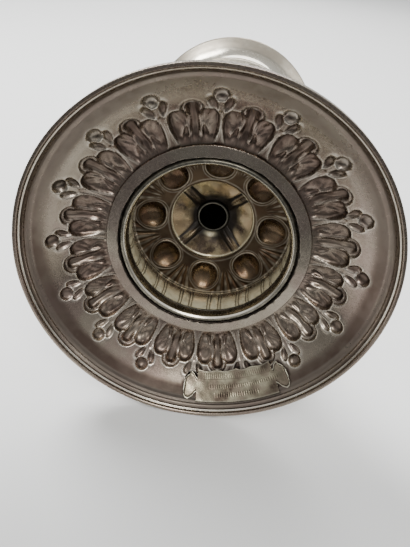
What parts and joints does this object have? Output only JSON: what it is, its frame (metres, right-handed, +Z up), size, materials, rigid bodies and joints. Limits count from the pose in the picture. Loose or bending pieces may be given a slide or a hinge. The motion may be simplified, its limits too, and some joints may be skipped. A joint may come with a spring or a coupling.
{
  "type": "chalice",
  "caption": "Silver chalice with a bell cup, a gadrooned knop, a ribbed drum with bosses and a round foot chased with leaves and buds.",
  "frame": {"origin": "centre of the circle that the foot stands on", "axes": "+Z up along the chalice's axis from the foot to the lip, +Y towards the side of the foot that has the plaque near it"},
  "size_m": [0.145, 0.145, 0.21],
  "materials": {
    "tarnished_silver": "chased silver, brown tarnish, soft sheen",
    "plate_silver": "thin rolled silver, grey tarnish",
    "bright_silver": "polished silver, light tarnish",
    "worn_gilt": "worn gilding over silver, brown tarnish",
    "brown_gilt": "chased, dark brown tarnish over gilding",
    "cup_silver": "polished silver"
  },
  "bodies": {
    "root": {"foot": "tarnished_silver", "maker_plaque": "plate_silver", "foot_collar": "tarnished_silver", "drum_ring": "bright_silver", "drum_band": "worn_gilt", "boss_dome": "brown_gilt", "stem_flare": "worn_gilt", "stem_lower": "bright_silver", "knop": "bright_silver", "stem_upper": "bright_silver", "cup": "cup_silver"}
  },
  "joints": []
}
